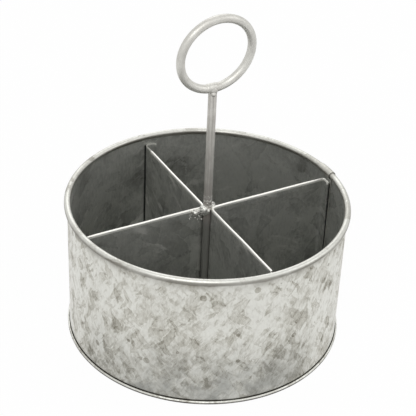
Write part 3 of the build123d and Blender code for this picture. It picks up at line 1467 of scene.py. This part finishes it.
@dataclass
class BasePan:
    """The base: a disc whose edge is folded up and over the wall's foot."""

    plan: CaddyPlan
    around: int = 288
    rings: int = 30
    bend_steps: int = 7
    rise_steps: int = 2
    fold_material: int = 0
    disc_material: int = 2

    def sheet(self) -> bmesh.types.BMesh:
        """Draw the section from the middle to the fold's lip, and spin it.

        Returns:
            The sheet's middle.
        """
        plan = self.plan
        middle = plan.sheet / 2
        bm = bmesh.new()
        line = BentLine(bm, ORIGIN, ACROSS, (0.0, middle))
        line.run(plan.fold_centre, middle, self.rings)
        line.arc(plan.fold_centre, plan.flange_height, QUARTER_TURN, self.bend_steps)
        line.run(plan.fold_centre + plan.fold_radius, plan.lip_foot, self.rise_steps)
        line.arc(plan.fold_centre, plan.lip_foot, QUARTER_TURN, self.bend_steps)
        line.run(plan.drum_radius + plan.crevice, plan.lip_height)
        section = line.front()
        bmesh.ops.spin(
            bm, geom=section.geom, cent=ORIGIN, axis=UP, angle=FULL_TURN, steps=self.around, use_merge=True
        )
        bmesh.ops.remove_doubles(bm, verts=bm.verts, dist=TOLERANCE)
        return bm

    def outward(self, point: Vector) -> Vector:
        """Down on the disc, and nothing on the fold."""
        return -UP if point.z < self.plan.sheet else ORIGIN

    def build(self, finishes: dict[str, bpy.types.Material]) -> bpy.types.Object:
        """Make the base and dress it.

        Args:
            finishes: The materials by name.

        Returns:
            The base's object.
        """
        bm = self.sheet()
        face_outward(bm, self.outward)
        for face in bm.faces:
            folded = face.calc_center_median().to_2d().length > self.plan.fold_centre
            face.material_index = self.fold_material if folded else self.disc_material
        inside = finishes[FLOOR_ZINC.name]
        materials = [finishes[BASE_ZINC.name], inside, finishes[UNDER_ZINC.name], inside]
        piece = make_piece("base_pan_sheet", bm, materials, ("base_pan",))
        thicken(piece, self.plan.sheet, inner_material=1)
        return piece


@dataclass
class Divider:
    """One divider: a sheet bent to a V round the rod, hemmed at the top, with a tab at each end.

    It is drawn as the right one, and turned to its side at the end.
    """

    plan: CaddyPlan
    side: Side
    rows: int = 16
    hem_steps: int = 8
    flap_steps: int = 3
    bend_steps: int = 10
    arm_steps: int = 34
    end_steps: int = 4
    tab_steps: int = 6
    wave: float = 0.35 * MM
    wave_size: float = 34.0 * MM
    wave_margin: float = 16.0 * MM
    flare_top: float = 1.5 * MM
    flare_foot: float = 0.3 * MM
    hem_press: float = 0.6
    rod_side: Vector = Vector((-1.0, 1.0, 0.0))

    def section(self, bm: bmesh.types.BMesh) -> Front:
        """Draw the section where the X arm leaves the bend: the sheet, the hem's fold and its flap.

        Args:
            bm: The mesh to draw in.

        Returns:
            The section as a free edge.
        """
        plan = self.plan
        corner = Vector((plan.bend_centre, -plan.arm_offset, 0.0))
        line = BentLine(bm, corner, AHEAD, (0.0, plan.divider_foot))
        line.run(0.0, plan.fold_line, self.rows)
        line.arc(plan.hem_radius, plan.fold_line, -HALF_TURN, self.hem_steps)
        line.run(2 * plan.hem_radius, plan.fold_line - plan.hem_depth, self.flap_steps)
        return line.front()

    def x_arm(self, section: Front) -> None:
        """Pull the section along X, press its hem flatter and turn it round to the tab.

        Args:
            section: The section where the arm leaves the bend.
        """
        plan = self.plan
        bend = plan.x_tab_bend
        hemmed = section.pull(ACROSS * (bend.x - plan.hem_stop - plan.bend_centre), self.arm_steps)
        pressed = hemmed.pull(ACROSS * plan.hem_stop)
        for vert in pressed.verts:
            vert.co.y += (vert.co.y + plan.arm_offset) * (self.hem_press - 1)
            vert.co.z += max(vert.co.z - plan.fold_line, 0.0) * (self.hem_press - 1)
        self.tab(pressed.turn(bend, UP, plan.x_tab_turn - QUARTER_TURN, self.tab_steps))

    def y_arm(self, section: Front) -> None:
        """Pull the section along Y, end its hem and turn the plain sheet round to the tab.

        Args:
            section: The section where the arm leaves the bend.
        """
        plan = self.plan
        bend = plan.y_tab_bend
        hemmed = section.pull(AHEAD * (-bend.y - plan.hem_stop - plan.bend_centre), self.arm_steps)
        plain = hemmed.where(lambda point: abs(point.x - plan.arm_offset) < TOLERANCE)
        plain = plain.pull(AHEAD * plan.hem_stop, self.end_steps)
        self.tab(plain.turn(bend, UP, plan.y_tab_turn, self.tab_steps))

    def tab(self, start: Front) -> None:
        """Draw a tab along the wall, and bend its free edge off the wall, most at the top.

        Args:
            start: The edge at which the tab starts.
        """
        edge = start.turn(ORIGIN, UP, -self.plan.tab_angle, self.tab_steps)
        for vert in edge.verts:
            share = ease(vert.co.z, self.plan.divider_foot, self.plan.divider_top)
            away = self.flare_foot + (self.flare_top - self.flare_foot) * share
            vert.co -= radial(vert.co) * away

    def sheet(self) -> bmesh.types.BMesh:
        """Draw the bend, and the two arms from its ends.

        Returns:
            The sheet's middle.
        """
        plan = self.plan
        bm = bmesh.new()
        section = self.section(bm)
        bend = Vector((plan.bend_centre, -plan.bend_centre, 0.0))
        turned = section.turn(bend, UP, QUARTER_TURN, self.bend_steps)
        self.x_arm(section)
        self.y_arm(turned)
        return bm

    def dent(self, bm: bmesh.types.BMesh) -> None:
        """Make the two arms faintly uneven between the bend and the tabs.

        Args:
            bm: The divider's sheet.
        """
        reach = self.plan.tab_near
        for vert in bm.verts:
            along_x = vert.co.x > -vert.co.y
            along = vert.co.x if along_x else -vert.co.y
            share = ease(along, self.plan.bend_centre, self.wave_margin)
            share *= 1 - ease(along, reach - self.wave_margin, reach - self.plan.tab_bend)
            spot = Vector((along, 0.0 if along_x else reach, vert.co.z)) / self.wave_size
            spot.y += self.side.value
            offset = noise.noise(spot) * share * self.wave
            vert.co += Vector((0.0, offset, 0.0)) if along_x else Vector((offset, 0.0, 0.0))

    def build(self, finishes: dict[str, bpy.types.Material]) -> bpy.types.Object:
        """Make the divider and dress it.

        Args:
            finishes: The materials by name.

        Returns:
            The divider's object.
        """
        bm = self.sheet()
        face_outward(bm, lambda point: self.rod_side)
        self.dent(bm)
        turn = Matrix.Rotation(self.side.value, 3, "Z")
        bmesh.ops.rotate(bm, verts=bm.verts, cent=ORIGIN, matrix=turn)
        node = f"{self.side.name.lower()}_divider"
        piece = make_piece(f"{node}_sheet", bm, [finishes[DIVIDER_ZINC.name]], (node,))
        thicken(piece, self.plan.sheet)
        return piece


@dataclass
class Handle:
    """The handle: a rod between the dividers and a hoop across its top."""

    plan: CaddyPlan
    around: int = 40
    rod_steps: int = 48
    ring_steps: int = 160
    seed: int = 4
    waver: float = 0.12 * MM
    waver_size: float = 22.0 * MM

    def bar(self, bm: bmesh.types.BMesh, start: Vector, along: Vector) -> Front:
        """Start a bar with a closed round end.

        Args:
            bm: The mesh to draw in.
            start: The middle of the end.
            along: The direction in which the bar goes.

        Returns:
            The end's edge, free to be drawn.
        """
        place = Matrix.Translation(start) @ along.to_track_quat("Z", "Y").to_matrix().to_4x4()
        disc = bmesh.ops.create_circle(
            bm, cap_ends=True, segments=self.around, radius=self.plan.rod_radius, matrix=place
        )
        edges = dict.fromkeys(edge for vert in disc["verts"] for edge in vert.link_edges)
        return Front(bm, [*disc["verts"], *edges])

    def close(self, bm: bmesh.types.BMesh, end: Front) -> None:
        """Close a bar's far end, turn its faces outward and make it faintly uneven.

        Args:
            bm: The bar.
            end: The far end's edge.
        """
        bmesh.ops.contextual_create(bm, geom=end.edges)
        bmesh.ops.recalc_face_normals(bm, faces=bm.faces)
        noise.seed_set(self.seed)
        for vert in bm.verts:
            vert.co += noise.noise_vector(vert.co / self.waver_size) * self.waver

    def rod(self, finish: bpy.types.Material) -> bpy.types.Object:
        """Make the rod.

        Args:
            finish: Its material.

        Returns:
            The rod's object.
        """
        bm = bmesh.new()
        foot = UP * self.plan.divider_foot
        end = self.bar(bm, foot, UP).pull(self.plan.ring_foot - foot, self.rod_steps)
        self.close(bm, end)
        return make_piece("handle_rod_bar", bm, [finish], ("handle_rod",))

    def ring(self, finish: bpy.types.Material) -> bpy.types.Object:
        """Make the hoop.

        Args:
            finish: Its material.

        Returns:
            The hoop's object.
        """
        plan = self.plan
        axis = ACROSS.cross(plan.ring_down)
        gap = plan.ring_gap / plan.ring_radius
        out = Matrix.Rotation(gap / 2, 3, axis) @ plan.ring_down
        bm = bmesh.new()
        end = self.bar(bm, plan.ring_centre + out * plan.ring_radius, axis.cross(out))
        end = end.turn(plan.ring_centre, axis, FULL_TURN - gap, self.ring_steps)
        self.close(bm, end)
        return make_piece("handle_ring_hoop", bm, [finish], ("handle_ring",))

    def build(self, finishes: dict[str, bpy.types.Material]) -> list[bpy.types.Object]:
        """Make the rod and the hoop.

        Args:
            finishes: The materials by name.

        Returns:
            Their objects.
        """
        return [self.rod(finishes[ROD_STEEL.name]), self.ring(finishes[HANDLE_STEEL.name])]


@dataclass
class Welds:
    """The welds that show: a lump under the hoop, those at the crossing, and spatter round them."""

    plan: CaddyPlan
    roundness: int = 4
    smooth_lump: float = 0.2 * MM
    rough_lump: float = 0.8 * MM
    lump_size: float = 2.4 * MM
    ripple_share: float = 0.5
    ripple_fineness: float = 2.3
    skin: float = 0.22 * MM
    ring_weld_radius: float = 3.7 * MM
    ring_weld_drop: float = 0.9 * MM
    ring_bump_radius: float = 3.2 * MM
    ring_bump_place: Vector = Vector((-0.9 * MM, 0.0, 0.75 * MM))
    ring_bump_spread: float = 2.4 * MM
    ring_bead_radius: float = 1.7 * MM
    ring_bead_place: Vector = Vector((-0.7 * MM, -2.5 * MM, -3.3 * MM))
    rod_weld_radius: float = 3.9 * MM
    rod_weld_outset: float = 0.6 * MM
    rod_weld_azimuth: float = math.radians(204.0)
    rod_weld_drop: float = 1.4 * MM
    run_bead_radius: float = 2.7 * MM
    run_bead_pitch: float = 3.4 * MM
    run_bead_drop: float = 3.0 * MM
    run_bead_count: int = 3
    seed: int = 4
    bead_roundness: int = 1
    least_bead: float = 0.3
    bead_fade: float = 0.6
    bead_sink: float = 0.45
    rod_bead_radius: float = 1.4 * MM
    rod_bead_count: int = 190
    rod_bead_rise: float = 12.5 * MM
    rod_bead_crowding: float = 1.4
    sheet_bead_radius: float = 1.7 * MM
    sheet_bead_count: int = 110
    sheet_bead_reach: float = 10.5 * MM
    sheet_bead_outset: float = 3.0 * MM
    sheet_bead_drop: float = 1.5 * MM

    @property
    def sheet_face(self) -> float:
        """Distance of the left divider's front face from the drum's axis."""
        return self.plan.arm_offset - self.plan.sheet / 2

    def lump(self, bm: bmesh.types.BMesh, middle: Vector, radius: float, unevenness: float) -> None:
        """Add one uneven lump of weld.

        Args:
            bm: The mesh to add it to.
            middle: Its middle.
            radius: Its mean radius.
            unevenness: How far its surface swells.
        """
        ball = bmesh.ops.create_icosphere(
            bm, subdivisions=self.roundness, radius=radius, matrix=Matrix.Translation(middle)
        )
        for vert in ball["verts"]:
            away = (vert.co - middle).normalized()
            ripple = noise.noise(vert.co * self.ripple_fineness / self.lump_size)
            swell = noise.noise(vert.co / self.lump_size) + self.ripple_share * ripple
            vert.co += away * (swell * unevenness)

    def one_skin(self, piece: bpy.types.Object) -> bpy.types.Object:
        """Run a piece's lumps together under one skin.

        Args:
            piece: The piece of overlapping lumps.

        Returns:
            The same piece.
        """
        skin = piece.modifiers.new("one_skin", "REMESH")
        skin.mode = "VOXEL"
        skin.voxel_size = self.skin
        skin.use_smooth_shade = True
        return piece

    def ring_weld(self, finish: bpy.types.Material) -> bpy.types.Object:
        """Make the lump that joins the hoop to the rod, with bumps along the hoop and a bead on the rod.

        Args:
            finish: Its material.

        Returns:
            The lump's object.
        """
        bm = bmesh.new()
        foot = self.plan.ring_foot
        self.lump(bm, foot - UP * self.ring_weld_drop, self.ring_weld_radius, self.smooth_lump)
        for along in (-self.ring_bump_spread, 0.0, self.ring_bump_spread):
            middle = foot + self.ring_bump_place + ACROSS * along
            self.lump(bm, middle, self.ring_bump_radius, self.smooth_lump)
        self.lump(bm, foot + self.ring_bead_place, self.ring_bead_radius, self.smooth_lump)
        return self.one_skin(make_piece("ring_weld_lump", bm, [finish], ("ring_weld",)))

    def rod_welds(self, finish: bpy.types.Material) -> bpy.types.Object:
        """Make the lumps that join the rod to the dividers, and the run along the left one.

        Args:
            finish: Their material.

        Returns:
            The lumps' object.
        """
        plan = self.plan
        bm = bmesh.new()
        reach = plan.rod_radius + self.rod_weld_outset
        for side in Side:
            azimuth = self.rod_weld_azimuth + side.value
            middle = polar(reach, azimuth, plan.divider_top - self.rod_weld_drop)
            self.lump(bm, middle, self.rod_weld_radius, self.rough_lump)
        for bead in range(self.run_bead_count):
            along = -plan.rod_radius - bead * self.run_bead_pitch
            middle = Vector((along, self.sheet_face, plan.divider_top - self.run_bead_drop))
            self.lump(bm, middle, self.run_bead_radius, self.rough_lump)
        return self.one_skin(make_piece("rod_weld_lumps", bm, [finish], ("rod_welds",)))

    def toss(self, chance: random.Random, largest: float, crowding: float) -> tuple[float, float, float]:
        """Draw where one bead of spatter goes and how large it is.

        Args:
            chance: Where the random numbers come from.
            largest: The largest radius.
            crowding: How much the beads crowd together at the start.

        Returns:
            The share of the whole way that it goes, its azimuth and its radius, less the farther it goes.
        """
        share = chance.random() ** crowding
        azimuth = chance.uniform(0.0, FULL_TURN)
        radius = largest * chance.uniform(self.least_bead, 1.0)
        return share, azimuth, radius * (1.0 - self.bead_fade * share)

    def bead(self, bm: bmesh.types.BMesh, middle: Vector, radius: float) -> None:
        """Add one small bead of spatter."""
        place = Matrix.Translation(middle)
        bmesh.ops.create_icosphere(bm, subdivisions=self.bead_roundness, radius=radius, matrix=place)

    def rod_spatter(self, bm: bmesh.types.BMesh, chance: random.Random) -> None:
        """Stick beads to the rod, from the crossing upward.

        Args:
            bm: The mesh to add them to.
            chance: Where the random numbers come from.
        """
        foot = self.plan.divider_top - self.rod_bead_radius
        for _ in range(self.rod_bead_count):
            share, azimuth, radius = self.toss(chance, self.rod_bead_radius, self.rod_bead_crowding)
            sunk = self.plan.rod_radius - self.bead_sink * radius
            self.bead(bm, polar(sunk, azimuth, foot + self.rod_bead_rise * share), radius)

    def sheet_spatter(self, bm: bmesh.types.BMesh, chance: random.Random) -> None:
        """Stick beads to the left divider's front face, below its hem and beside the rod.

        Args:
            bm: The mesh to add them to.
            chance: Where the random numbers come from.
        """
        plan = self.plan
        beside = -plan.rod_radius - self.sheet_bead_outset
        middle = Vector((beside, self.sheet_face, plan.fold_line - self.sheet_bead_drop))
        for _ in range(self.sheet_bead_count):
            share, azimuth, radius = self.toss(chance, self.sheet_bead_radius, 1.0)
            reach = self.sheet_bead_reach * share
            spot = middle + Vector((math.cos(azimuth), 0.0, math.sin(azimuth))) * reach
            spot.y += self.bead_sink * radius
            if spot.x < -plan.rod_radius and spot.z < plan.fold_line:
                self.bead(bm, spot, radius)

    def spatter(self, finish: bpy.types.Material) -> bpy.types.Object:
        """Make the small beads of weld round the crossing.

        Args:
            finish: Their material.

        Returns:
            The beads' object.
        """
        bm = bmesh.new()
        chance = random.Random(self.seed)
        self.rod_spatter(bm, chance)
        self.sheet_spatter(bm, chance)
        return make_piece("weld_spatter", bm, [finish])

    def build(self, finishes: dict[str, bpy.types.Material]) -> list[bpy.types.Object]:
        """Make the welds that show.

        Args:
            finishes: The materials by name.

        Returns:
            Their objects.
        """
        finish = finishes[WELD_METAL.name]
        return [self.ring_weld(finishes[HANDLE_STEEL.name]), self.rod_welds(finish), self.spatter(finish)]


@dataclass
class KeptNodes:
    """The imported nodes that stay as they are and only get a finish."""

    finishes: dict[str, str]

    def build(self, materials: dict[str, bpy.types.Material]) -> None:
        """Give each node its material.

        Args:
            materials: The materials by name.
        """
        for node, finish in self.finishes.items():
            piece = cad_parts[node]
            piece.data.materials.clear()
            piece.data.materials.append(materials[finish])
            LOG.info("%s: kept, in %s", node, finish)


@dataclass(frozen=True)
class Lamp:
    """A soft square lamp: its place, its side and its power in watts."""

    name: str
    place: Triple
    size: float
    power: float

    def build(self, target: Vector) -> None:
        """Hang the lamp so that it faces a point.

        Args:
            target: The point.
        """
        light = bpy.data.lights.new(self.name, "AREA")
        light.shape = "SQUARE"
        light.size = self.size
        light.energy = self.power
        lamp = bpy.data.objects.new(self.name, light)
        bpy.context.scene.collection.objects.link(lamp)
        lamp.location = self.place
        lamp.rotation_euler = (target - lamp.location).to_track_quat("-Z", "Y").to_euler()


@dataclass
class Studio:
    """White floor, soft light and the camera."""

    plan: CaddyPlan
    floor_size: float = 8.0
    floor_segments: int = 4
    floor_colour: Colour = (0.9, 0.9, 0.9, 1.0)
    floor_white: float = 0.965
    # How brightly the floor glows in the metal, by how far it lies towards the camera: a painted reflection,
    # dimmer in front.
    floor_shine: Ramp = Ramp(-0.1, 0.35, 0.9, 0.36)
    world_light: float = 0.55
    lamps: tuple[Lamp, ...] = (
        Lamp("key_lamp", (-0.9, -1.1, 1.5), size=1.1, power=14.0),
        Lamp("fill_lamp", (1.3, -0.9, 1.0), size=1.2, power=5.0),
        Lamp("back_lamp", (0.5, 1.3, 1.3), size=1.2, power=6.0),
    )
    camera_distance: float = 0.944344
    camera_elevation: float = math.radians(35.078)
    camera_azimuth: float = math.radians(-29.8)
    camera_roll: float = math.radians(2.626)
    aim_right: float = math.radians(0.027)
    aim_up: float = math.radians(2.23)
    sensor: float = 36.0
    lens: float = 110.88

    @property
    def target(self) -> Vector:
        """The middle of the drum."""
        return UP * (self.plan.drum_height / 2)

    @property
    def front(self) -> Vector:
        """The level direction from the drum to the camera."""
        return Vector((math.sin(self.camera_azimuth), -math.cos(self.camera_azimuth), 0.0))

    def floor(self) -> None:
        """A pale floor that the camera sees as nearly white and that keeps the shadow; the metal mirrors it
        as a painted glow, bright behind the drum and dimmer on the camera's side.
        """
        bm = bmesh.new()
        segments = self.floor_segments
        bmesh.ops.create_grid(bm, x_segments=segments, y_segments=segments, size=self.floor_size / 2)
        mesh = bpy.data.meshes.new("floor")
        bm.to_mesh(mesh)
        bm.free()
        floor = bpy.data.objects.new("floor", mesh)
        bpy.context.scene.collection.objects.link(floor)
        mesh.materials.append(self.floor_material())

    def floor_material(self) -> bpy.types.Material:
        """Lay out the floor's nodes.

        Returns:
            The material, which glows as far as it is seen or mirrored.
        """
        bench = NodeBench(bpy.data.materials.new("white_floor"))
        path = bench.add("ShaderNodeLightPath").outputs
        ahead = bench.vector("DOT_PRODUCT", bench.place(), self.front)
        mirrored = bench.number("ADD", path["Is Glossy Ray"], path["Is Transmission Ray"], clamp=True)
        mirrored = bench.times(mirrored, bench.ramp(ahead, self.floor_shine))
        seen = bench.times(path["Is Camera Ray"], self.floor_white)
        seen = bench.number("MAXIMUM", seen, mirrored)
        cloth = bench.add("ShaderNodeBsdfDiffuse", {"Color": self.floor_colour}).outputs["BSDF"]
        glow = bench.add("ShaderNodeEmission", {"Color": WHITE, "Strength": 1.0}).outputs["Emission"]
        both = bench.add("ShaderNodeMixShader", {0: seen, 1: cloth, 2: glow}).outputs["Shader"]
        bench.add("ShaderNodeOutputMaterial", {"Surface": both})
        return bench.owner

    def world(self) -> None:
        """An even pale surround, white to the camera and in reflections."""
        world = bpy.data.worlds.new("studio")
        bpy.context.scene.world = world
        bench = NodeBench(world)
        path = bench.add("ShaderNodeLightPath").outputs
        seen = bench.number("ADD", path["Is Camera Ray"], path["Is Glossy Ray"], clamp=True)
        strength = bench.ramp(seen, Ramp(0.0, 1.0, self.world_light, 1.0))
        sky = bench.add("ShaderNodeBackground", {"Color": WHITE, "Strength": strength})
        bench.add("ShaderNodeOutputWorld", {"Surface": sky.outputs["Background"]})

    def camera(self) -> None:
        """The camera at the photograph's angle, roll and distance."""
        back = self.front * math.cos(self.camera_elevation) + UP * math.sin(self.camera_elevation)
        right = UP.cross(back).normalized()
        rise = back.cross(right)
        ahead = (-back + right * math.tan(self.aim_right) + rise * math.tan(self.aim_up)).normalized()
        right = ahead.cross(UP).normalized()
        rise = right.cross(ahead)
        turn = Matrix.Rotation(-self.camera_roll, 3, ahead)
        axes = Matrix((turn @ right, turn @ rise, -ahead)).transposed()
        data = bpy.data.cameras.new("camera")
        data.sensor_width = self.sensor
        data.lens = self.lens
        data.dof.use_dof = False
        camera = bpy.data.objects.new("camera", data)
        bpy.context.scene.collection.objects.link(camera)
        place = self.target + back * self.camera_distance
        camera.matrix_world = Matrix.Translation(place) @ axes.to_4x4()
        bpy.context.scene.camera = camera

    def build(self) -> None:
        """Set up the floor, the light and the camera."""
        self.floor()
        self.world()
        for lamp in self.lamps:
            lamp.build(self.target)
        self.camera()
        bpy.context.scene.view_settings.view_transform = "Standard"


def main() -> None:
    """Build the caddy piece by piece and set it in the studio."""
    logging.basicConfig(level=logging.INFO, format="%(name)s: %(message)s")
    finishes = {finish.name: finish.material() for finish in FINISHES}
    DrumWall(PLAN).build(finishes)
    BasePan(PLAN).build(finishes)
    for side in Side:
        Divider(PLAN, side).build(finishes)
    Handle(PLAN).build(finishes)
    Welds(PLAN).build(finishes)
    KeptNodes({
        "rim_wire": WIRE_STEEL.name,
        "tab_spot_welds": WELD_METAL.name,
        "seam_spot_welds": WELD_METAL.name,
    }).build(finishes)
    Studio(PLAN).build()


if __name__ == "__main__":
    main()
